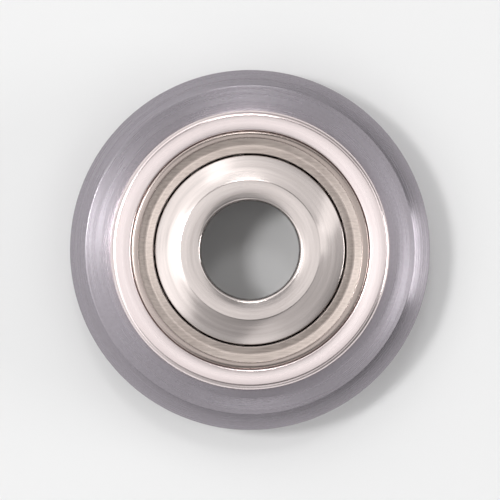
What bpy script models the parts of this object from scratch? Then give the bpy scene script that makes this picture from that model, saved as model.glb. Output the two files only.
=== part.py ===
"""Tile cutter wheel: a carbide scoring disc that spins on its own small ball bearing.

The wheel lies flat, with its axis along +Z and its centre at the origin. Front means the +Z side.
All lengths are in metres.
"""

import math

import bmesh
import bpy

# Cutting disc: a flat carbide ring, ground to a V all round its rim. Its bore is the bearing's seat,
# so its size is given by the ring's width, which makes the wheel 22 mm over the edge.
DISC_RING_WIDTH = 0.00375
DISC_THICKNESS = 0.0020
EDGE_ANGLE = math.radians(90)
EDGE_LAND = 0.00006
DISC_BORE_CHAMFER = 0.00012

# Inner ring: two halves that meet in the middle and are clamped on a 6 mm axle
BORE_DIAMETER = 0.0060
INNER_WIDTH = 0.0060
INNER_WALL = 0.0010
BORE_CHAMFER = 0.00020
JOINT_CHAMFER = 0.00010
END_FACE_WIDTH = 0.00125
FLANGE_REACH = 0.00175
FLANGE_THICKNESS = 0.00030

# Balls: standard 3/32 inch, packed round the groove with no cage
BALL_DIAMETER = 0.002381
BALL_PLAY = 0.00002
BALL_SPACING = 0.00006

# Ball grooves, cut to a slightly larger radius than the ball
GROOVE_CONFORMITY = 0.53
SHOULDER_HEIGHT = 0.00055

# Outer ring: one piece, with the full ball groove inside, and at each end a snap slot for a shield
# and a pocket under it
OUTER_WIDTH = 0.0050
OUTER_WALL = 0.000809
OUTER_CHAMFER = 0.00012
SHIELD_RECESS = 0.00020
SNAP_LIP = 0.00016

# Dust shields: pressed sheet steel, flat at the rim, with one broad channel pressed inwards
SHIELD_THICKNESS = 0.00024
SHIELD_RIM = 0.00018
SHIELD_HEM = 0.00005
SHIELD_RUNNING_GAP = 0.00014
CHANNEL_DEPTH = 0.00017
POCKET_CLEARANCE = 0.00014

# Clamp collars: pressed on the outer ring from both sides, they grip the disc
COLLAR_HEIGHT = 0.00125
COLLAR_ROUNDING = 0.00035
COLLAR_CHAMFER = 0.00010

# Fits and fineness
PRESS_GAP = 0.00002
TURN_STEPS = 60
ROUNDING_STEPS = 3
GROOVE_STEPS = 6
CHANNEL_STEPS = 4
BALL_SEGMENTS = 12
BALL_RINGS = 8
SMOOTH_ANGLE = math.radians(32)

# Radii that follow, from the bore outwards
bore_radius = BORE_DIAMETER / 2
ball_radius = BALL_DIAMETER / 2
inner_groove_radius = bore_radius + INNER_WALL
pitch_radius = inner_groove_radius + BALL_PLAY + ball_radius
outer_groove_radius = pitch_radius + ball_radius + BALL_PLAY
outer_ring_radius = outer_groove_radius + OUTER_WALL
seat_radius = outer_ring_radius + PRESS_GAP
collar_radius = seat_radius + COLLAR_HEIGHT
rim_radius = seat_radius + DISC_RING_WIDTH
flange_radius = inner_groove_radius + FLANGE_REACH
shield_bore_radius = flange_radius + SHIELD_RUNNING_GAP
slot_radius = outer_ring_radius - OUTER_CHAMFER - SNAP_LIP
shield_radius = slot_radius - PRESS_GAP
channel_radius = shield_radius - SHIELD_RIM

# Heights that follow, from the middle plane outwards
disc_face = DISC_THICKNESS / 2
ring_face = OUTER_WIDTH / 2
end_face = INNER_WIDTH / 2
slot_top = ring_face - SHIELD_RECESS
slot_floor = slot_top - SHIELD_THICKNESS - 2 * PRESS_GAP
shield_underside = slot_floor + PRESS_GAP
pocket_floor = shield_underside - CHANNEL_DEPTH - POCKET_CLEARANCE

# The groove's arc: its radius, and how far round it the shoulder lies from the bottom
groove_curve = GROOVE_CONFORMITY * BALL_DIAMETER
shoulder_turn = math.acos(1 - SHOULDER_HEIGHT / groove_curve)


def arc(centre, radius, start, end, steps):
    """Points (radius, height) round a circle, from one angle to the other, both ends included."""
    angles = [start + (end - start) * step / steps for step in range(steps + 1)]
    return [(centre[0] + radius * math.cos(a), centre[1] + radius * math.sin(a)) for a in angles]


def mirrored(points):
    """The same points on the other side of the middle plane, in the opposite order."""
    return [(radius, -height) for radius, height in reversed(points)]


def cutting_disc_profile():
    """A 2 mm plate with a V edge. The V's height follows from the disc's thickness and the edge angle."""
    edge_height = (disc_face - EDGE_LAND / 2) / math.tan(EDGE_ANGLE / 2)
    upper_half = [
        (seat_radius, disc_face - DISC_BORE_CHAMFER),
        (seat_radius + DISC_BORE_CHAMFER, disc_face),
        (rim_radius - edge_height, disc_face),
        (rim_radius, EDGE_LAND / 2),
    ]
    return upper_half + mirrored(upper_half)


def outer_ring_profile():
    """The bearing's outer ring. Pocket and snap slot are cut in its bore, outside the shoulders."""
    shoulder_radius = outer_groove_radius - SHOULDER_HEIGHT
    pocket_radius = channel_radius + PRESS_GAP
    lip_radius = slot_radius - SNAP_LIP
    outside = [
        (outer_ring_radius - OUTER_CHAMFER, ring_face),
        (outer_ring_radius, ring_face - OUTER_CHAMFER),
    ]
    slot = [
        (shoulder_radius, pocket_floor),
        (pocket_radius, pocket_floor),
        (pocket_radius, slot_floor),
        (slot_radius, slot_floor),
        (slot_radius, slot_top),
        (lip_radius, slot_top),
        (lip_radius, ring_face),
    ]
    groove_centre = (outer_groove_radius - groove_curve, 0)
    groove = arc(groove_centre, groove_curve, -shoulder_turn, shoulder_turn, GROOVE_STEPS)
    return outside + mirrored(outside) + mirrored(slot) + groove + slot


def inner_ring_profile():
    """The front half of the inner ring: half a groove, and a bevelled flange that covers the ball gap."""
    shoulder_radius = inner_groove_radius + SHOULDER_HEIGHT
    end_face_radius = bore_radius + END_FACE_WIDTH
    groove_centre = (inner_groove_radius + groove_curve, 0)
    groove = arc(groove_centre, groove_curve, math.pi - shoulder_turn, math.pi, GROOVE_STEPS // 2)
    flange = [
        (end_face_radius, end_face),
        (flange_radius, ring_face),
        (flange_radius, ring_face - FLANGE_THICKNESS),
        (shoulder_radius, ring_face - FLANGE_THICKNESS),
    ]
    bore = [
        (bore_radius + JOINT_CHAMFER, PRESS_GAP / 2),
        (bore_radius, JOINT_CHAMFER + PRESS_GAP / 2),
        (bore_radius, end_face - BORE_CHAMFER),
        (bore_radius + BORE_CHAMFER, end_face),
    ]
    groove[-1] = (groove[-1][0], PRESS_GAP / 2)
    return flange + groove + bore


def clamp_collar_profile():
    """The front collar: a square ring between the disc's face and the outer ring's end, rounded outside."""
    inner_face = disc_face + PRESS_GAP
    rounding_centre = (collar_radius - COLLAR_ROUNDING, ring_face - COLLAR_ROUNDING)
    rounding = arc(rounding_centre, COLLAR_ROUNDING, math.pi / 2, 0, ROUNDING_STEPS)
    corners = [
        (collar_radius, inner_face + COLLAR_CHAMFER),
        (collar_radius - COLLAR_CHAMFER, inner_face),
        (seat_radius, inner_face),
        (seat_radius, ring_face - COLLAR_CHAMFER),
        (seat_radius + COLLAR_CHAMFER, ring_face),
    ]
    return rounding + corners


def dust_shield_profile():
    """The front shield: its rim sits in the snap slot, and the channel stiffens the sheet inside it."""
    hem_radius = shield_bore_radius + SHIELD_HEM

    def sheet(height, steps):
        """One side of the sheet, from the rim inwards. The channel is one wave of a cosine."""
        points = [(shield_radius, height)]
        for step in range(steps + 1):
            share = step / steps
            radius = channel_radius + (hem_radius - channel_radius) * share
            points.append((radius, height - CHANNEL_DEPTH * (1 - math.cos(2 * math.pi * share)) / 2))
        return points + [(shield_bore_radius, height)]

    top = sheet(shield_underside + SHIELD_THICKNESS, CHANNEL_STEPS)
    bottom = sheet(shield_underside, CHANNEL_STEPS // 2)
    return bottom + list(reversed(top))


def metal(name, colour, roughness):
    """A bare metal, as a Principled BSDF."""
    material = bpy.data.materials.new(name)
    material.use_nodes = True
    shader = material.node_tree.nodes["Principled BSDF"]
    shader.inputs["Base Color"].default_value = (*colour, 1)
    shader.inputs["Metallic"].default_value = 1
    shader.inputs["Roughness"].default_value = roughness
    material.diffuse_color = (*colour, 1)
    return material


def add_empty(name, collection):
    """An axis that moving pieces hang on. It stands at the wheel's centre."""
    empty = bpy.data.objects.new(name, None)
    empty.empty_display_size = rim_radius
    collection.objects.link(empty)
    return empty


def shade_round(mesh):
    mesh.shade_smooth()
    mesh.set_sharp_from_angle(angle=SMOOTH_ANGLE)


def turn(name, profile, material):
    """A mesh turned about +Z from a closed profile that runs down its outer side."""
    outline = bpy.data.meshes.new(name + "_profile")
    links = [(i, (i + 1) % len(profile)) for i in range(len(profile))]
    outline.from_pydata([(radius, 0, height) for radius, height in profile], links, [])
    lathe = bpy.data.objects.new(name + "_lathe", outline)
    bpy.context.scene.collection.objects.link(lathe)
    screw = lathe.modifiers.new("Turn", "SCREW")
    screw.axis = "Z"
    screw.angle = 2 * math.pi
    screw.steps = screw.render_steps = TURN_STEPS
    screw.use_merge_vertices = False
    turned = bpy.data.meshes.new_from_object(lathe.evaluated_get(bpy.context.evaluated_depsgraph_get()))
    bpy.data.objects.remove(lathe)
    bpy.data.meshes.remove(outline)
    turned.name = name
    turned.materials.clear()
    turned.materials.append(material)
    shade_round(turned)
    return turned


def ball_mesh(material):
    mesh = bpy.data.meshes.new("ball")
    sphere = bmesh.new()
    bmesh.ops.create_uvsphere(sphere, u_segments=BALL_SEGMENTS, v_segments=BALL_RINGS, radius=ball_radius)
    sphere.to_mesh(mesh)
    sphere.free()
    mesh.materials.append(material)
    shade_round(mesh)
    return mesh


def place(name, mesh, collection, parent=None, flipped=False):
    """A node at the wheel's centre. A back piece is the front one turned over."""
    piece = bpy.data.objects.new(name, mesh)
    collection.objects.link(piece)
    piece.parent = parent
    if flipped:
        piece.rotation_euler = (math.pi, 0, 0)
    return piece


def place_balls(mesh, collection, orbit):
    """As many balls as the pitch circle holds, evenly spaced round it."""
    half_pitch = math.asin((ball_radius + BALL_SPACING / 2) / pitch_radius)
    count = math.floor(math.pi / half_pitch)
    for number in range(count):
        angle = 2 * math.pi * number / count
        ball = place(f"ball_{number + 1:02d}", mesh, collection, orbit)
        ball.location = (pitch_radius * math.cos(angle), pitch_radius * math.sin(angle), 0)
        ball.rotation_euler = (0, 0, angle)


def main():
    for leftover in list(bpy.data.objects):
        bpy.data.objects.remove(leftover)

    carbide = metal("ground_carbide", (0.36, 0.35, 0.37), 0.32)
    plated = metal("nickel_plated_steel", (0.78, 0.71, 0.68), 0.22)
    bearing_steel = metal("bearing_steel", (0.70, 0.67, 0.65), 0.18)
    sheet_steel = metal("sheet_steel", (0.62, 0.56, 0.50), 0.28)
    polished = metal("polished_steel", (0.80, 0.80, 0.80), 0.06)

    wheel = bpy.data.collections.new("tile_cutter_wheel")
    bpy.context.scene.collection.children.link(wheel)
    spin_axis = add_empty("wheel_spin_axis", wheel)
    orbit_axis = add_empty("ball_orbit_axis", wheel)

    place("cutting_disc", turn("cutting_disc", cutting_disc_profile(), carbide), wheel, spin_axis)
    place("outer_ring", turn("outer_ring", outer_ring_profile(), bearing_steel), wheel, spin_axis)

    inner_ring = turn("inner_ring", inner_ring_profile(), bearing_steel)
    place("inner_ring_front", inner_ring, wheel)
    place("inner_ring_back", inner_ring, wheel, flipped=True)

    collar = turn("clamp_collar", clamp_collar_profile(), plated)
    place("clamp_collar_front", collar, wheel, spin_axis)
    place("clamp_collar_back", collar, wheel, spin_axis, flipped=True)

    shield = turn("dust_shield", dust_shield_profile(), sheet_steel)
    place("dust_shield_front", shield, wheel, spin_axis)
    place("dust_shield_back", shield, wheel, spin_axis, flipped=True)

    place_balls(ball_mesh(polished), wheel, orbit_axis)


main()
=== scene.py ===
# %% [markdown]
# # Tile cutter wheel
#
# This wheel scores tiles. A hard carbide disc with a V edge turns on its own small ball bearing,
# and two collars grip the disc on the bearing. The solids are made already, at their real size and
# with their joints. This lesson makes what is seen: smooth turned forms with broken edges, and a
# finish for each metal.
#
# The disc, the collars and the bearing's rings were turned on a lathe or ground while they spun. So
# they are all made one way: draw half a section beside the axis, round its corners, and spin it. A
# corner of the section becomes a whole edge of the ring, so rounding it there takes one step instead
# of hundreds. The pressed shields and the balls are made in ways of their own.

import math

import bmesh
import bpy
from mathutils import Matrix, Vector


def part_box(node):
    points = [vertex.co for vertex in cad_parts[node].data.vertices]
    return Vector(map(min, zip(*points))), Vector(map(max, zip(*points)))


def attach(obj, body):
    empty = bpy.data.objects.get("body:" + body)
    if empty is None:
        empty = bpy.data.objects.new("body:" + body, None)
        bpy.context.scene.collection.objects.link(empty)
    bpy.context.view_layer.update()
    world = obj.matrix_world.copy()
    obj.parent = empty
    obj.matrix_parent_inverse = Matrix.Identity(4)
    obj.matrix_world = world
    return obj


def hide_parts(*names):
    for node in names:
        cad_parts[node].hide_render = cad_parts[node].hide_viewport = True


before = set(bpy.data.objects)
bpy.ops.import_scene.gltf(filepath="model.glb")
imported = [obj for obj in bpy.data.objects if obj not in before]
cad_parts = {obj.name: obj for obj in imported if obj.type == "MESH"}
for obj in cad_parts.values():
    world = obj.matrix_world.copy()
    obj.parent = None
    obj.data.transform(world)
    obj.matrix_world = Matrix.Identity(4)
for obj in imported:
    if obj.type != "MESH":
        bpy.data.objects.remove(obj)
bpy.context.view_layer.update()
bpy.ops.object.select_all(action="DESELECT")
print("solids:", len(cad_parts))

# %% [markdown]
# ## Measure before modelling
#
# A new surface has to lie on its solid, or the bearing would bind when it turns. The sizes could be
# typed in again here, but then there would be two of each to keep alike. Instead they are measured
# on the solids, whose corners lie on the true circles.
#
# All lengths are in metres. MICRONS turns one into a number to print, and two places that are
# closer together than TOUCH count as one.

# %% Measure the solids
MICRONS = 1e6
TOUCH = 0.000001


def reach(solid):
    """Smallest and largest distance from the axis, lowest and highest point, in metres."""
    corners = [corner.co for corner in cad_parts[solid].data.vertices]
    radii = [math.hypot(corner.x, corner.y) for corner in corners]
    heights = [corner.z for corner in corners]
    return min(radii), max(radii), min(heights), max(heights)


def radii_at(solid, height):
    """Smallest and largest distance from the axis of the corners at one height."""
    corners = [corner.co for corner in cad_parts[solid].data.vertices]
    level = [corner for corner in corners if abs(corner.z - height) < TOUCH]
    radii = [math.hypot(corner.x, corner.y) for corner in level]
    return min(radii), max(radii)


seat_radius, rim_radius, disc_back, disc_face = reach("cutting_disc")
collar_bore, collar_radius, collar_foot, hub_face = reach("clamp_collar_front")
shoulder_radius, ring_radius, ring_back, ring_face = reach("outer_ring")
bore_radius, flange_radius, joint_face, end_face = reach("inner_ring_front")
shield_bore, shield_radius, sheet_bottom, sheet_top = reach("dust_shield_front")
ball_low, ball_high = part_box("ball_01")
ball_radius = (ball_high.z - ball_low.z) / 2
pitch_radius = (ball_high.x + ball_low.x) / 2

# %% [markdown]
# ## Draw a section
#
# Two kinds of start are enough. A section with straight sides starts as a plane, stood up beside
# the axis. A section with a ball groove starts as a circle of the groove's own radius: what isn't
# groove is cut away, and the rest of the outline is extruded from the arc's end, corner by corner.
#
# The other way would be to cut grooves and chamfers into finished rings with Booleans. That leaves
# thin slivers along each cut, and they would show in polished metal.

# %% Start a section


def start_drawing(piece, name):
    """Gives a new outline its name, puts its place in its mesh, and opens it for drawing."""
    piece.name = piece.data.name = name
    bpy.ops.object.transform_apply(location=True, rotation=True, scale=True)
    bpy.ops.object.mode_set(mode="EDIT")
    bpy.ops.mesh.select_mode(type="VERT")
    return piece


def section_plane(name, inner, outer, bottom, top):
    """A rectangle that stands in the XZ plane, on the +X side. It is left in edit mode."""
    middle = ((inner + outer) / 2, 0, (bottom + top) / 2)
    bpy.ops.mesh.primitive_plane_add(size=1, location=middle, rotation=(math.pi / 2, 0, 0))
    bpy.context.object.scale = (outer - inner, top - bottom, 1)
    return start_drawing(bpy.context.object, name)


def section_circle(name, centre_radius, radius, steps):
    """A circle that stands in the XZ plane, with its centre on the wheel's middle plane."""
    bpy.ops.mesh.primitive_circle_add(
        vertices=steps, radius=radius, location=(centre_radius, 0, 0), rotation=(math.pi / 2, 0, 0)
    )
    return start_drawing(bpy.context.object, name)


# %% [markdown]
# Operators act on what is selected, so a helper picks corners by their place. Places on a section
# are pairs: the distance from the axis and the height. Bisect merges its new corners with old ones
# nearby, within a tenth of a millimetre if nothing else is said. On a ring this small that would
# move a corner by more than it may be off, so it is given a far finer merge distance.

# %% Cut, pick, extrude and round
MERGE = TOUCH / 10
ROUND_PROFILE = 0.5


def cut(place, normal):
    """Cuts the section with a straight line, and throws away the side that the normal points to."""
    bpy.ops.mesh.select_all(action="SELECT")
    bpy.ops.mesh.bisect(
        plane_co=(place[0], 0, place[1]),
        plane_no=(normal[0], 0, normal[1]),
        clear_outer=True,
        threshold=MERGE,
    )


def place_of(corner):
    """Where a section's corner is: its distance from the axis and its height."""
    return corner.co.x, corner.co.z


def pick(*places):
    """Selects the section's corner nearest to each place, and returns where these corners are."""
    mesh = bpy.context.object.data
    shape = bmesh.from_edit_mesh(mesh)
    chosen = [
        min(shape.verts, key=lambda corner: math.dist(place_of(corner), place))
        for place in places
    ]
    for corner in shape.verts:
        corner.select = corner in chosen
    shape.select_flush_mode()
    bmesh.update_edit_mesh(mesh)
    return [place_of(corner) for corner in chosen]


def draw_on(start, *places):
    """Extrudes the corner nearest to start from place to place, and closes the outline."""
    here = pick(start)[0]
    miss = math.dist(here, start)
    for place in places:
        step = (place[0] - here[0], 0, place[1] - here[1])
        bpy.ops.mesh.extrude_region_move(TRANSFORM_OT_translate={"value": step})
        here = place
    bpy.ops.mesh.select_all(action="SELECT")
    bpy.ops.mesh.edge_face_add()
    print(f"{bpy.context.object.name}: drawn on from a corner {miss * MICRONS:.2f} micrometres off")


def round_corners(size, *places, segments):
    """Rounds the section's corners at these places, or chamfers them with one segment."""
    pick(*places)
    bpy.ops.mesh.bevel(affect="VERTICES", offset=size, segments=segments, profile=ROUND_PROFILE)


print(f"corners closer together than {MERGE * MICRONS:.1f} micrometres are merged")

# %% [markdown]
# ## Spin it
#
# Only the section's outline is spun. Its face is deleted first, or a wall would be left inside the
# ring where the turn starts and ends. A full turn merges its last copy with the first. A merge by
# distance then makes sure that no double is left, because an open seam would show in the shading.
# Last, the faces are made to point outwards: a spin can come out inside out.
#
# 240 steps put a flat every 0.3 mm on the rim, which the eye takes for a circle. Smooth shading
# hides the flats, and stops at each edge that turns by more than the crease angle. Where an edge is
# rounded, the shading would bend across the whole face beside it, as if it were dished. Weighted
# normals let the large face lead, so that it stays flat right up to its edge.

# %% Spin a section
TURN_STEPS = 240
CREASE = math.radians(32)
FLAT_FACE_LEAD = 100


def shade_metal(piece):
    """Smooth shading with sharp edges, in which each flat face stays flat up to its rounded edge."""
    bpy.ops.object.shade_smooth_by_angle(angle=CREASE)
    weighted = piece.modifiers.new("Flat faces lead", "WEIGHTED_NORMAL")
    weighted.mode = "FACE_AREA"
    weighted.weight = FLAT_FACE_LEAD
    weighted.keep_sharp = True
    bpy.ops.object.modifier_apply(modifier=weighted.name)


def spin_section(piece):
    """Turns the section in edit mode into a closed ring about the Z axis."""
    bpy.ops.mesh.select_all(action="SELECT")
    bpy.ops.mesh.delete(type="ONLY_FACE")
    bpy.ops.mesh.select_all(action="SELECT")
    bpy.ops.mesh.spin(steps=TURN_STEPS, angle=2 * math.pi, center=(0, 0, 0), axis=(0, 0, 1))
    bpy.ops.mesh.select_all(action="SELECT")
    bpy.ops.mesh.remove_doubles(threshold=MERGE)
    bpy.ops.mesh.normals_make_consistent(inside=False)
    bpy.ops.object.mode_set(mode="OBJECT")
    shade_metal(piece)
    print(f"{piece.name}: {len(piece.data.polygons)} faces")


# %% [markdown]
# ## Copy, turn over and hand in
#
# The wheel's back is like its front, so each piece of the back is a copy of one at the front, turned
# half round. Mirroring would give the same form, but it turns a mesh inside out.
#
# A finished piece is parented to an empty for the body that it moves with, and the solid that it
# stands for is hidden.

# %% Copy, turn over, and hand in a piece


def copy_of(piece, name):
    """A copy of a finished piece, with a mesh of its own. It is left selected."""
    bpy.ops.object.select_all(action="DESELECT")
    piece.select_set(True)
    bpy.context.view_layer.objects.active = piece
    bpy.ops.object.duplicate(linked=False)
    copy = bpy.context.object
    copy.name = copy.data.name = name
    return copy


def turned_over(piece, name):
    """A copy that is turned half round X, for the wheel's back."""
    copy = copy_of(piece, name)
    copy.rotation_euler = (math.pi, 0, 0)
    bpy.ops.object.transform_apply(location=True, rotation=True, scale=True)
    return copy


def hand_in(piece, body, solid):
    """The piece moves with its body, and the solid that it stands for is hidden."""
    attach(piece, body)
    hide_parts(solid)


# %% [markdown]
# ## The cutting disc
#
# The disc is a ring of sintered tungsten carbide, far harder than any tile. Its two faces are ground
# flat, and its rim is ground from both sides to a V of 90 degrees. Only a land as thin as a hair is
# left at the very edge: a knife edge would crumble.
#
# The section is a plane cut by two slanted lines, as the grinding wheel cuts the real one. The
# corners between flank and face get a tiny round, just enough to catch a line of light.

# %% Model the cutting disc
EDGE_ANGLE = math.radians(90)
EDGE_LAND = 0.00006
EDGE_BREAK = 0.000012
FLANK_BREAK = 0.00003
SEAT_CHAMFER = 0.00012

half_edge = EDGE_ANGLE / 2
flank_height = (disc_face - EDGE_LAND / 2) / math.tan(half_edge)
flank_start = rim_radius - flank_height

cutting_disc = section_plane("carbide_disc", seat_radius, rim_radius, disc_back, disc_face)
for side in (1, -1):
    cut((rim_radius, side * EDGE_LAND / 2), (math.sin(half_edge), side * math.cos(half_edge)))
for side in (1, -1):
    round_corners(EDGE_BREAK, (rim_radius, side * EDGE_LAND / 2), segments=2)
    round_corners(FLANK_BREAK, (flank_start, side * disc_face), segments=3)
    round_corners(SEAT_CHAMFER, (seat_radius, side * disc_face), segments=1)
spin_section(cutting_disc)
hand_in(cutting_disc, "wheel", "cutting_disc")

# %% [markdown]
# ## The clamp collars
#
# A collar is pressed on from each side until the disc sits tight between them. Turned from plated
# steel, it has a broad round shoulder outside, so that no sharp corner rubs on the tile guide, and
# small breaks elsewhere.
#
# The round shoulder gets more segments than the rest, because the brightest reflection on the
# whole wheel lies along it.

# %% Model the clamp collars
COLLAR_ROUNDING = 0.00035
ROUNDING_STEPS = 10
COLLAR_BREAK = 0.00010

collar_front = section_plane("collar_front", collar_bore, collar_radius, collar_foot, hub_face)
round_corners(COLLAR_ROUNDING, (collar_radius, hub_face), segments=ROUNDING_STEPS)
round_corners(COLLAR_BREAK, (collar_bore, hub_face), (collar_radius, collar_foot), segments=4)
spin_section(collar_front)
collar_back = turned_over(collar_front, "collar_back")
hand_in(collar_front, "wheel", "clamp_collar_front")
hand_in(collar_back, "wheel", "clamp_collar_back")

# %% [markdown]
# ## The outer ring of the bearing
#
# The outer ring is one piece, ground inside to a groove a little wider than the balls: 53% of a
# ball's diameter as its radius, so that the balls touch it at the bottom and roll easily. Beside the
# groove, a slot behind a thin lip holds the shield, and a shallow pocket under the slot makes room
# for the channel that is pressed into it.
#
# The groove is the hard part, so the section starts with it: a circle, cut off at the shoulder. The
# rest is straight lines, extruded round from one end of the arc and joined to the other. The back
# half has the front's corners in the opposite order, so they are listed only once.

# %% Model the outer ring
GROOVE_CONFORMITY = 0.53
GROOVE_STEPS = 96
SHIELD_RECESS = 0.00020
SLOT_WIDTH = 0.00028
POCKET_DEPTH = 0.00029
OUTER_CHAMFER = 0.00012
LIP_BREAK = 0.00003

groove_curve = GROOVE_CONFORMITY * 2 * ball_radius
outer_groove = radii_at("outer_ring", 0)[0]
slot_top = ring_face - SHIELD_RECESS
slot_floor = slot_top - SLOT_WIDTH
pocket_floor = slot_floor - POCKET_DEPTH
pocket_radius = radii_at("outer_ring", pocket_floor)[1]
lip_radius, slot_radius = radii_at("outer_ring", slot_top)
outer_centre = outer_groove - groove_curve
shoulder_height = math.sqrt(groove_curve**2 - (shoulder_radius - outer_centre) ** 2)
front_corners = [
    (shoulder_radius, pocket_floor),
    (pocket_radius, pocket_floor),
    (pocket_radius, slot_floor),
    (slot_radius, slot_floor),
    (slot_radius, slot_top),
    (lip_radius, slot_top),
    (lip_radius, ring_face),
    (ring_radius, ring_face),
]
back_corners = [(radius, -height) for radius, height in reversed(front_corners)]

outer_ring = section_circle("bearing_outer_ring", outer_centre, groove_curve, GROOVE_STEPS)
cut((shoulder_radius, 0), (-1, 0))
draw_on((shoulder_radius, shoulder_height), *front_corners, *back_corners)
round_corners(OUTER_CHAMFER, (ring_radius, ring_face), (ring_radius, ring_back), segments=3)
for side in (1, -1):
    lip_corners = ((lip_radius, side * ring_face), (lip_radius, side * slot_top))
    round_corners(LIP_BREAK, *lip_corners, segments=3)
spin_section(outer_ring)
hand_in(outer_ring, "wheel", "outer_ring")

# %% [markdown]
# ## The inner ring
#
# The inner ring is split in the middle, so that the balls can be packed in without a cage, and the
# axle then clamps both halves together. Each half has half a groove, a flange that covers the ball
# gap, and an end face that stands proud of the hub: it touches the fork, and nothing else does.
#
# The half is drawn like the outer ring, from a quarter of its groove's circle.

# %% Model the inner ring
FLANGE_THICKNESS = 0.00030
BORE_CHAMFER = 0.00020
JOINT_CHAMFER = 0.00010
END_BREAK = 0.00005
FLANGE_BREAK = 0.00006

inner_groove = radii_at("inner_ring_front", joint_face)[1]
end_radius = radii_at("inner_ring_front", end_face)[1]
flange_foot = ring_face - FLANGE_THICKNESS
neck_radius = radii_at("inner_ring_front", flange_foot)[0]
inner_centre = inner_groove + groove_curve
neck_height = math.sqrt(groove_curve**2 - (inner_centre - neck_radius) ** 2)

inner_front = section_circle("bearing_inner_ring_front", inner_centre, groove_curve, GROOVE_STEPS)
cut((neck_radius, 0), (1, 0))
cut((0, joint_face), (0, -1))
draw_on(
    (neck_radius, neck_height),
    (neck_radius, flange_foot),
    (flange_radius, flange_foot),
    (flange_radius, ring_face),
    (end_radius, end_face),
    (bore_radius, end_face),
    (bore_radius, joint_face),
)
round_corners(BORE_CHAMFER, (bore_radius, end_face), segments=3)
round_corners(JOINT_CHAMFER, (bore_radius, joint_face), segments=2)
round_corners(END_BREAK, (end_radius, end_face), segments=4)
round_corners(FLANGE_BREAK, (flange_radius, ring_face), (flange_radius, flange_foot), segments=3)
spin_section(inner_front)
inner_back = turned_over(inner_front, "bearing_inner_ring_back")
hand_in(inner_front, "bearing_core", "inner_ring_front")
hand_in(inner_back, "bearing_core", "inner_ring_back")

# %% [markdown]
# ## The dust shields
#
# A shield is a ring of thin sheet with one broad channel pressed into it, which makes it stiff and
# lets it snap into its slot. As a section it would need the channel twice, above and below. So it
# starts as the circle of its rim, which is extruded inwards ring by ring as a surface, and gets its
# thickness at the end.
#
# The channel is three rings only. A bevel on those edges rounds the press's corners.

# %% Press the channel
SHIELD_RIM = 0.00018
SHIELD_HEM = 0.00005
CHANNEL_DEPTH = 0.00017
CHANNEL_BEND = 0.00010
CHANNEL_BEND_STEPS = 6
HEM_BEND = 0.000018
HEM_BEND_STEPS = 3

channel_outside = shield_radius - SHIELD_RIM
channel_inside = shield_bore + SHIELD_HEM
channel_middle = (channel_outside + channel_inside) / 2


def extrude_ring(old_radius, new_radius, rise):
    """Extrudes the selected ring inwards to a new radius, and lifts it."""
    bpy.ops.mesh.extrude_region_move(TRANSFORM_OT_translate={"value": (0, 0, rise)})
    share = new_radius / old_radius
    bpy.ops.transform.resize(value=(share, share, 1))


def pick_rings(*radii):
    """Selects the edges that run round at these radii, and nothing else."""
    mesh = bpy.context.object.data
    shape = bmesh.from_edit_mesh(mesh)
    for edge in shape.edges:
        ends = [math.hypot(corner.co.x, corner.co.y) for corner in edge.verts]
        on_ring = [all(abs(end - radius) < TOUCH for end in ends) for radius in radii]
        edge.select_set(any(on_ring))
    bmesh.update_edit_mesh(mesh)


bpy.ops.mesh.primitive_circle_add(
    vertices=TURN_STEPS, radius=shield_radius, location=(0, 0, sheet_top)
)
shield_front = start_drawing(bpy.context.object, "shield_front")
bpy.ops.mesh.select_all(action="SELECT")
extrude_ring(shield_radius, channel_outside, 0)
extrude_ring(channel_outside, channel_middle, -CHANNEL_DEPTH)
extrude_ring(channel_middle, channel_inside, CHANNEL_DEPTH)
extrude_ring(channel_inside, shield_bore, 0)
bpy.ops.mesh.select_mode(type="EDGE")
pick_rings(channel_outside, channel_middle)
bpy.ops.mesh.bevel(
    affect="EDGES", offset=CHANNEL_BEND, segments=CHANNEL_BEND_STEPS, profile=ROUND_PROFILE
)
pick_rings(channel_inside)
bpy.ops.mesh.bevel(
    affect="EDGES", offset=HEM_BEND, segments=HEM_BEND_STEPS, profile=ROUND_PROFILE
)
bpy.ops.object.mode_set(mode="OBJECT")

# %% [markdown]
# The whole surface is extruded straight down, which also closes its rims. Solidify would do it
# square to each bend, but these bends are tighter than the sheet is thick, and its underside would
# fold over itself. A press stretches a channel's walls anyway, so that they get a little thinner, as
# they do here.
#
# A press also shears its blanks and leaves their edges a little rounded, so a last Bevel breaks the
# sharp ones. It is applied, so that the mesh itself carries the rounded edges.

# %% Give the shields their thickness
SHEET_BREAK = 0.000025
SHEET_BREAK_STEPS = 2
SHARP = math.radians(60)

thickness = sheet_top - sheet_bottom - CHANNEL_DEPTH
bpy.ops.object.mode_set(mode="EDIT")
bpy.ops.mesh.select_all(action="SELECT")
bpy.ops.mesh.extrude_region_move(TRANSFORM_OT_translate={"value": (0, 0, -thickness)})
bpy.ops.mesh.select_all(action="SELECT")
bpy.ops.mesh.normals_make_consistent(inside=False)
bpy.ops.object.mode_set(mode="OBJECT")
edge_break = shield_front.modifiers.new("Edge break", "BEVEL")
edge_break.width = SHEET_BREAK
edge_break.segments = SHEET_BREAK_STEPS
edge_break.limit_method = "ANGLE"
edge_break.angle_limit = SHARP
bpy.ops.object.modifier_apply(modifier=edge_break.name)
shade_metal(shield_front)
shield_back = turned_over(shield_front, "shield_back")
hand_in(shield_front, "wheel", "dust_shield_front")
hand_in(shield_back, "wheel", "dust_shield_back")

# %% [markdown]
# ## The balls
#
# The balls are lapped to a mirror. A UV sphere would pinch at its poles, and a pinch shows in a
# mirror, so each ball starts as a cube. Subdivided and then pushed out to a sphere, a cube has faces
# of nearly one size all over. One ball is made, and the rest are copies, set out on one circle.

# %% Model one ball
BALL_CUTS = 15

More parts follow.
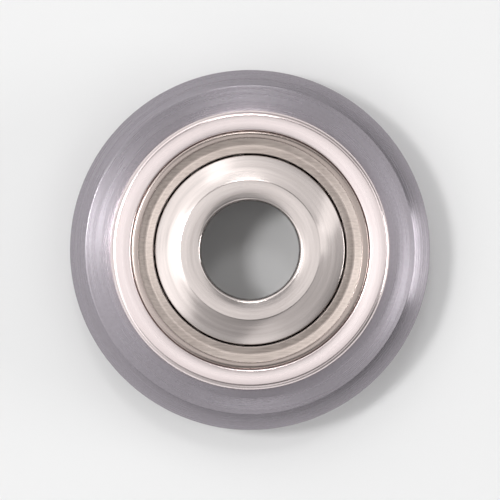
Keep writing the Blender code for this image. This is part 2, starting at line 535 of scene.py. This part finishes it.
bpy.ops.mesh.primitive_cube_add(size=ball_radius)
pattern_ball = bpy.context.object
bpy.ops.object.mode_set(mode="EDIT")
bpy.ops.mesh.select_all(action="SELECT")
bpy.ops.mesh.subdivide(number_cuts=BALL_CUTS)
bpy.ops.transform.tosphere(value=1)
bpy.ops.object.mode_set(mode="OBJECT")
pattern_size = max(corner.co.length for corner in pattern_ball.data.vertices)
pattern_ball.scale = (ball_radius / pattern_size,) * 3
bpy.ops.object.transform_apply(location=True, rotation=True, scale=True)
bpy.ops.object.shade_smooth_by_angle(angle=CREASE)

# %% Place all the balls
ball_solids = sorted(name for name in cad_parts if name.startswith("ball_"))
balls = []
farthest = 0
for number, solid in enumerate(ball_solids, start=1):
    ball = copy_of(pattern_ball, f"bearing_ball_{number:02d}")
    angle = 2 * math.pi * (number - 1) / len(ball_solids)
    ball.location = (pitch_radius * math.cos(angle), pitch_radius * math.sin(angle), 0)
    lowest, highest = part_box(solid)
    farthest = max(farthest, (ball.location - (lowest + highest) / 2).length)
    bpy.ops.object.transform_apply(location=True, rotation=True, scale=True)
    hand_in(ball, "ball_set", solid)
    balls.append(ball)
bpy.data.objects.remove(pattern_ball)
print(f"balls: {len(balls)}, at most {farthest * MICRONS:.1f} micrometres off their solids")

# %% [markdown]
# ## Short helpers for nodes
#
# A finish is a small network of nodes, with no picture in it. By hand, each node would be added, set
# and linked in turn. One helper does that here for any kind of node, and the others stand for what
# is needed again and again: multiply, add, blend two colours, and fit a noise to a range.
#
# Noise runs from 0 to 1, but nearly all of it lies near the middle. Fitting only that part to the
# range uses the whole of it. The last helper is a plain noise with no direction.

# %% Node helpers
NOISE_LOW = 0.3
NOISE_HIGH = 0.7

# A Mix node has a set of sockets for each kind of value. These are the ones for colours.
FIRST_COLOUR = 6
SECOND_COLOUR = 7
MIXED_COLOUR = 2


def put(tree, kind, inputs=None, **settings):
    """Adds a node. A socket among the inputs is linked, and any other value is set."""
    node = tree.nodes.new("ShaderNode" + kind)
    for name, value in settings.items():
        setattr(node, name, value)
    for name, value in (inputs or {}).items():
        if isinstance(value, bpy.types.NodeSocket):
            tree.links.new(value, node.inputs[name])
        else:
            node.inputs[name].default_value = value
    return node


def scaled(tree, value, factor):
    """The value times the factor."""
    return put(tree, "Math", {0: value, 1: factor}, operation="MULTIPLY").outputs[0]


def added(tree, first, second):
    """The sum of two values."""
    return put(tree, "Math", {0: first, 1: second}, operation="ADD").outputs[0]


def blend_colours(tree, share, first, second):
    """A colour that runs from the first to the second as share runs from 0 to 1."""
    mixed = put(tree, "Mix", {"Factor": share}, data_type="RGBA")
    mixed.inputs[FIRST_COLOUR].default_value = (*first, 1)
    mixed.inputs[SECOND_COLOUR].default_value = (*second, 1)
    return mixed.outputs[MIXED_COLOUR]


def between(tree, noise, low, high):
    """A value that runs from low to high as a noise crosses the range where most of it lies."""
    noise_range = {"Value": noise, "From Min": NOISE_LOW, "From Max": NOISE_HIGH}
    return put(tree, "MapRange", {**noise_range, "To Min": low, "To Max": high}).outputs["Result"]


def even_noise(tree, size, detail=3.0):
    """Noise with no direction. Its broadest patches are size apart, in metres."""
    place = put(tree, "TexCoord").outputs["Object"]
    settings = {"Vector": place, "Scale": 1 / size, "Detail": detail}
    return put(tree, "TexNoise", settings).outputs["Fac"]


# %% [markdown]
# ## Marks of the tool
#
# Metal that was turned or ground has fine marks all the way round. They give it its look: a face
# with round marks shows two bright fans, one towards the light and one away from it, like a pan's
# bottom. The marks here are a noise that changes quickly with the distance from the axis and slowly
# round it. Direction goes in as a sine and a cosine, so the pattern closes on itself with no seam.
#
# A picture of brushed metal could do this too, but it would show its pixels and its seams up close.
# Marks smaller than a pixel are left to the shader's anisotropy.

# %% Marks that run round the axis
QUARTER_TURN = 0.25


def round_marks(tree, spacing, length, detail=4.0, finer=0.55):
    """Noise in rings about the axis. The broadest are spacing apart and length long, in metres.

    Each further layer of detail is twice as fine, and finer times as strong.
    """
    place = put(tree, "TexCoord").outputs["Object"]
    apart = put(tree, "SeparateXYZ", {"Vector": place})
    flat = put(tree, "CombineXYZ", {"X": apart.outputs["X"], "Y": apart.outputs["Y"]}).outputs[0]
    radius = put(tree, "VectorMath", {0: flat}, operation="LENGTH").outputs["Value"]
    way = put(tree, "VectorMath", {0: flat}, operation="NORMALIZE").outputs["Vector"]
    turn = put(tree, "SeparateXYZ", {"Vector": way})
    along = collar_radius / length
    vector = put(tree, "CombineXYZ", {
        "X": scaled(tree, radius, 1 / spacing),
        "Y": scaled(tree, apart.outputs["Z"], 1 / spacing),
        "Z": scaled(tree, turn.outputs["X"], along),
    }).outputs[0]
    sine = scaled(tree, turn.outputs["Y"], along)
    settings = {"Vector": vector, "W": sine, "Scale": 1.0, "Detail": detail, "Roughness": finer}
    return put(tree, "TexNoise", settings, noise_dimensions="4D").outputs["Fac"]


def raise_marks(tree, shader, height, depth):
    """Bump from a height between 0 and 1, as deep as depth in metres."""
    bump = put(tree, "Bump", {"Height": height, "Distance": depth, "Strength": 1.0})
    tree.links.new(bump.outputs[0], shader.inputs["Normal"])


def brush_round(tree, shader, amount):
    """Stretches reflections across the round marks, a quarter turn from the way they run."""
    tangent = put(tree, "Tangent", direction_type="RADIAL", axis="Z").outputs[0]
    tree.links.new(tangent, shader.inputs["Tangent"])
    shader.inputs["Anisotropic"].default_value = amount
    shader.inputs["Anisotropic Rotation"].default_value = QUARTER_TURN


# %% [markdown]
# ## Bare metal with a film of oil
#
# Every finish starts as a metal. A new wheel still carries a breath of oil from the works, and where
# it gathers the metal is a little duller. Without it a polished ring would look like plastic,
# because nothing real is so even. Only the balls do without: they hardly show, behind the shields.

# %% Start a metal
OIL_PATCH = 0.0035
OIL_CLEAREST = -0.015
OIL_DULLEST = 0.035


def bare_metal(name):
    """A metal shader to build a finish on: (material, node tree, shader)."""
    material = bpy.data.materials.new(name)
    material.use_nodes = True
    tree = material.node_tree
    shader = tree.nodes["Principled BSDF"]
    shader.inputs["Metallic"].default_value = 1
    return material, tree, shader


def oiled(tree, roughness):
    """The roughness, a little higher where oil has gathered."""
    film = between(tree, even_noise(tree, OIL_PATCH), OIL_CLEAREST, OIL_DULLEST)
    return added(tree, roughness, film)


# %% [markdown]
# ## Ground carbide
#
# Carbide is a dull grey with a touch of violet, darker than steel, because the binder metal is only
# a tenth of it. The faces are ground while the disc spins, which leaves clear rings. The flanks of
# the V are finished finer and shine a little more. The wheel that grinds them crosses the edge, so
# fine marks run across them too.
#
# A second noise, with no direction, stands for the grains: it varies the colour very slightly.

# %% Make the carbide finishes
CARBIDE_DARK = (0.31, 0.285, 0.31)
CARBIDE_BRIGHT = (0.42, 0.39, 0.43)
CARBIDE_GRAIN = 0.00012
GRAIN_SHARE = 0.35
CROSS_SHARE = 0.3


def ground_carbide(name, roughness, spacing, depth, crossed):
    """Carbide with rings of grinding marks, and marks across them if it is crossed."""
    material, tree, shader = bare_metal(name)
    marks = round_marks(tree, spacing, length=0.020, finer=0.7)
    height = marks
    if crossed:
        across = round_marks(tree, spacing=0.010, length=0.0005, detail=2.0)
        height = put(tree, "Mix", {"Factor": CROSS_SHARE, "A": marks, "B": across}).outputs["Result"]
    grain = even_noise(tree, CARBIDE_GRAIN)
    tone = put(tree, "Mix", {"Factor": GRAIN_SHARE, "A": marks, "B": grain}).outputs["Result"]
    colour = blend_colours(tree, between(tree, tone, 0, 1), CARBIDE_DARK, CARBIDE_BRIGHT)
    tree.links.new(colour, shader.inputs["Base Color"])
    dullness = oiled(tree, between(tree, marks, *roughness))
    tree.links.new(dullness, shader.inputs["Roughness"])
    brush_round(tree, shader, amount=0.8)
    raise_marks(tree, shader, height, depth)
    return material


carbide_face = ground_carbide(
    "carbide_face", roughness=(0.19, 0.33), spacing=0.00040, depth=6e-6, crossed=False
)
carbide_flank = ground_carbide(
    "carbide_flank", roughness=(0.18, 0.32), spacing=0.00020, depth=3e-6, crossed=True
)
print("carbide:", carbide_face.name, carbide_flank.name)

# %% [markdown]
# The flanks are all the faces of the disc that lie further out than the place where they start, so
# a face's distance from the axis is enough to tell which finish it takes.

# %% Give the disc its two finishes
cutting_disc.data.materials.append(carbide_face)
cutting_disc.data.materials.append(carbide_flank)
flank_faces = 0
for face in cutting_disc.data.polygons:
    far_out = math.hypot(face.center.x, face.center.y) > flank_start
    face.material_index = 1 if far_out else 0
    flank_faces += face.material_index
print(f"flank faces: {flank_faces}")

# %% [markdown]
# ## Plated collars
#
# The collars carry a bright nickel plate over turned steel. Plating fills the finest marks and
# leaves a warm white shine, so the rings are shallow and the roughness is low.
#
# Steel that was turned or ground is made in one way, whatever its tones, so a function of its own
# takes them, and the bearing uses it too.

# %% Make the plated finish
NICKEL_TONES = ((0.77, 0.67, 0.665), (0.97, 0.865, 0.86))
STEEL_MARK_DEPTH = 2.5e-6


def turned_steel(name, tones, spacing, length, roughness, stretch):
    """Steel with marks round the axis, which run between two tones and two values of roughness."""
    material, tree, shader = bare_metal(name)
    marks = round_marks(tree, spacing, length)
    colour = blend_colours(tree, between(tree, marks, 0, 1), *tones)
    tree.links.new(colour, shader.inputs["Base Color"])
    dullness = oiled(tree, between(tree, marks, *roughness))
    tree.links.new(dullness, shader.inputs["Roughness"])
    brush_round(tree, shader, stretch)
    raise_marks(tree, shader, marks, STEEL_MARK_DEPTH)
    return material


collar_plate = turned_steel(
    "plated_steel", NICKEL_TONES, spacing=0.00040, length=0.030, roughness=(0.15, 0.24), stretch=0.25
)
for collar in (collar_front, collar_back):
    collar.data.materials.append(collar_plate)
print("plated:", collar_front.name, collar_back.name)

# %% [markdown]
# ## Bearing steel
#
# The rings are hardened and then ground. One finish serves for all of them, in three tones: the
# inner ring is the whitest, the outer ring is darker and browner as painted shade round the shields,
# and the bore is near black as painted shade inside it.

# %% Make the bearing steel
INNER_RING_TONES = ((0.59, 0.53, 0.51), (0.79, 0.715, 0.69))
# The outer ring's dark brown tones are painted shade, for the dark ring round the shields.
OUTER_RING_SHADE_TONES = ((0.40, 0.335, 0.305), (0.58, 0.495, 0.465))
# The bore's near-black tones are painted shade, for the dark bore and the floor seen through it.
BORE_SHADE_TONES = ((0.12, 0.105, 0.10), (0.17, 0.15, 0.145))


def bearing_steel(name, tones):
    """The bearing's ground steel, in one of its three tones."""
    return turned_steel(
        name, tones, spacing=0.00035, length=0.015, roughness=(0.14, 0.22), stretch=0.2
    )


inner_steel = bearing_steel("inner_ring_steel", INNER_RING_TONES)
outer_shaded_steel = bearing_steel("outer_ring_shaded_steel", OUTER_RING_SHADE_TONES)
bore_painted_shade = bearing_steel("bore_painted_shade", BORE_SHADE_TONES)
outer_ring.data.materials.append(outer_shaded_steel)
bore_faces = 0
for ring in (inner_front, inner_back):
    ring.data.materials.append(inner_steel)
    # The faces of the bore get the near-black painted shade.
    ring.data.materials.append(bore_painted_shade)
    for face in ring.data.polygons:
        in_bore = math.hypot(face.center.x, face.center.y) < bore_radius + TOUCH
        face.material_index = 1 if in_bore else 0
        bore_faces += face.material_index
print(f"faces in the bore: {bore_faces}")

# %% [markdown]
# ## Pressed sheet
#
# The shields are cut from rolled strip. Rolling leaves a straight grain that runs across the ring
# and doesn't follow it, so this noise is stretched along one straight line. Sheet isn't ground, so
# it is duller and warmer than the rings beside it. Its tones are also set darker than its own
# colour, as painted shade for the dark ring round the bearing.

# %% Make the sheet steel
# Both tones are set low: the sheet's own warm grey, with painted shade round the bearing on top.
SHEET_DARK = (0.42, 0.36, 0.33)
SHEET_BRIGHT = (0.575, 0.505, 0.465)
SHEET_ROUGHNESS = (0.47, 0.57)
GRAIN_LENGTH = 0.0014
GRAIN_WIDTH = 0.00011


def pressed_sheet():
    """Rolled sheet steel, with a straight grain along X."""
    material, tree, shader = bare_metal("pressed_sheet")
    place = put(tree, "TexCoord").outputs["Object"]
    stretch = (1 / GRAIN_LENGTH, 1 / GRAIN_WIDTH, 1 / GRAIN_WIDTH)
    stretched = put(tree, "Mapping", {"Vector": place, "Scale": stretch}).outputs[0]
    grain = put(tree, "TexNoise", {"Vector": stretched, "Scale": 1.0, "Detail": 3.0}).outputs["Fac"]
    colour = blend_colours(tree, between(tree, grain, 0, 1), SHEET_DARK, SHEET_BRIGHT)
    tree.links.new(colour, shader.inputs["Base Color"])
    dullness = oiled(tree, between(tree, grain, *SHEET_ROUGHNESS))
    tree.links.new(dullness, shader.inputs["Roughness"])
    raise_marks(tree, shader, grain, depth=1e-6)
    return material


sheet_steel = pressed_sheet()
for shield in (shield_front, shield_back):
    shield.data.materials.append(sheet_steel)
print("sheet:", shield_front.name, shield_back.name)

# %% [markdown]
# ## Lapped balls
#
# Lapping has no direction, so the balls have neither rings nor anisotropy. What is left is a very
# faint haze, which keeps the mirror from looking like a hole in the picture.

# %% Make the ball finish
BALL_DARK = (0.80, 0.80, 0.81)
BALL_BRIGHT = (0.84, 0.84, 0.84)
BALL_ROUGHNESS = (0.05, 0.09)
HAZE_SIZE = 0.0008


def lapped_steel():
    """Steel polished to a mirror, with a faint haze."""
    material, tree, shader = bare_metal("lapped_steel")
    haze = even_noise(tree, HAZE_SIZE, detail=2.0)
    tree.links.new(blend_colours(tree, haze, BALL_DARK, BALL_BRIGHT), shader.inputs["Base Color"])
    tree.links.new(between(tree, haze, *BALL_ROUGHNESS), shader.inputs["Roughness"])
    return material


ball_steel = lapped_steel()
for ball in balls:
    ball.data.materials.append(ball_steel)
print(f"lapped: {len(balls)} balls")

# %% [markdown]
# ## The floor
#
# The wheel lies flat on one end face of its inner ring, as it would on a bench. The floor is plain
# and pale, far larger than the wheel, and takes its soft shadow. It lies a hair below the end face,
# because two surfaces in one place would flicker.

# %% Lay the floor
FLOOR_SIZE = 3.0
FLOOR_GAP = 0.000005
FLOOR_COLOUR = (0.81, 0.81, 0.81, 1)
FLOOR_ROUGHNESS = 0.7
FLOOR_GLOSS = 0.2

bpy.ops.mesh.primitive_plane_add(size=FLOOR_SIZE, location=(0, 0, -end_face - FLOOR_GAP))
floor = bpy.context.object
floor.name = floor.data.name = "floor"
bpy.ops.object.transform_apply(location=True, rotation=True, scale=True)
paper = bpy.data.materials.new("pale_floor")
paper.use_nodes = True
paper_shader = paper.node_tree.nodes["Principled BSDF"]
paper_shader.inputs["Base Color"].default_value = FLOOR_COLOUR
paper_shader.inputs["Roughness"].default_value = FLOOR_ROUGHNESS
paper_shader.inputs["Specular IOR Level"].default_value = FLOOR_GLOSS
floor.data.materials.append(paper)

# %% [markdown]
# ## Light
#
# Polished metal has almost no colour of its own: it shows what stands round it. So each lamp is
# placed by the face that should mirror it. Seen from above, a flat face mirrors what hangs straight
# overhead, so a long strip hangs there. The bevel of the inner ring leans by 18 degrees, and mirrors
# what stands 37 degrees off the vertical. Four softboxes stand round it at that height: bright ones
# at the left and behind, a weaker one at the right, and a faint one in front. The flank of the V is
# steeper. It mirrors the walls, so a fifth softbox stands low at the right, where they are darkest.
#
# Two small strong lamps do what soft ones can't. The round marks stretch their reflections into the
# bright fans on the disc, and they shine into the bore and lay a crescent on the floor under it.
#
# A lamp's brightness is given as it would look in a mirror, where 1 is white. Its power follows
# from that and its area: a lamp of one square metre looks white at 4 watts.

# %% Set the lamps
WHITE_POWER = 4
LAMPS = [
    # name, azimuth, elevation, distance, width, height, brightness
    ("overhead_strip", 280, 89, 0.70, 1.10, 0.20, 0.66),
    ("key_softbox", 165, 53, 0.60, 1.10, 0.26, 0.58),
    ("back_softbox", 66, 52, 0.60, 0.86, 0.26, 0.54),
    ("fill_softbox", 330, 52, 0.60, 1.30, 0.26, 0.42),
    ("side_softbox", 236, 52, 0.60, 0.90, 0.26, 0.13),
    ("low_softbox", 358, 18, 0.80, 0.40, 0.22, 5),
    ("window_lamp", 168, 63, 0.80, 0.13, 0.13, 27),
    ("skylight_lamp", 93, 64, 0.80, 0.13, 0.13, 8),
]


def softbox(name, azimuth, elevation, distance, width, height, brightness):
    """A rectangular lamp that faces the wheel. Azimuth runs from +X towards +Y, in degrees.

    It returns the lamp's power in watts.
    """
    turn = math.radians(azimuth)
    rise = math.radians(elevation)
    lamp = bpy.data.lights.new(name, "AREA")
    lamp.shape = "RECTANGLE"
    lamp.size = width
    lamp.size_y = height
    lamp.energy = WHITE_POWER * width * height * brightness
    stand = bpy.data.objects.new(name, lamp)
    stand.location = (
        distance * math.cos(rise) * math.cos(turn),
        distance * math.cos(rise) * math.sin(turn),
        distance * math.sin(rise),
    )
    stand.rotation_euler = (math.pi / 2 - rise, 0, math.pi / 2 + turn)
    bpy.context.scene.collection.objects.link(stand)
    return lamp.energy


total_power = sum(softbox(*values) for values in LAMPS)
print(f"lamps: {len(LAMPS)}, {total_power:.1f} W together")

# %% [markdown]
# The world stands for the room: pale walls, a darker ceiling, and one side brighter than the other,
# where its window is. That side's glow falls off as a cosine, so the far wall loses what the near
# one gains, and the floor is as bright as before.

# %% Set the world
WALLS = 0.62
CEILING = 0.20
WINDOW_SIDE = math.radians(165)
WINDOW_GLOW = 0.36

world = bpy.data.worlds.new("room")
world.use_nodes = True
bpy.context.scene.world = world
room = world.node_tree
direction = put(room, "TexCoord").outputs["Generated"]
upwards = put(room, "SeparateXYZ", {"Vector": direction}).outputs["Z"]
wall_to_ceiling = {"Value": upwards, "To Min": WALLS, "To Max": CEILING}
level = put(room, "MapRange", wall_to_ceiling).outputs["Result"]
to_window = (math.cos(WINDOW_SIDE), math.sin(WINDOW_SIDE), 0)
facing = put(room, "VectorMath", {0: direction, 1: to_window}, operation="DOT_PRODUCT")
glow = scaled(room, facing.outputs["Value"], WINDOW_GLOW)
background = room.nodes["Background"]
background.inputs["Color"].default_value = (1, 1, 1, 1)
room.links.new(added(room, level, glow), background.inputs["Strength"])
print(f"room: {WALLS + WINDOW_GLOW:.2f} at the window, {WALLS - WINDOW_GLOW:.2f} across from it")

# %% [markdown]
# ## Camera
#
# The photograph looks straight at the wheel's face, from far away, so there is hardly any
# perspective. A long lens does the same. The wheel fills a bit under three quarters of the picture.

# %% Set the camera
FOCAL_LENGTH = 400
WHEEL_SHARE = 0.72
NEAREST_SEEN = 0.01
FARTHEST_SEEN = 10

camera_data = bpy.data.cameras.new("camera")
camera_data.lens = FOCAL_LENGTH
camera_data.clip_start = NEAREST_SEEN
camera_data.clip_end = FARTHEST_SEEN
camera = bpy.data.objects.new("camera", camera_data)
picture_width = 2 * rim_radius / WHEEL_SHARE
camera_height = picture_width * FOCAL_LENGTH / camera_data.sensor_width
camera.location = (0, 0, camera_height)
bpy.context.scene.collection.objects.link(camera)
bpy.context.scene.camera = camera
bpy.context.scene.view_settings.view_transform = "Standard"
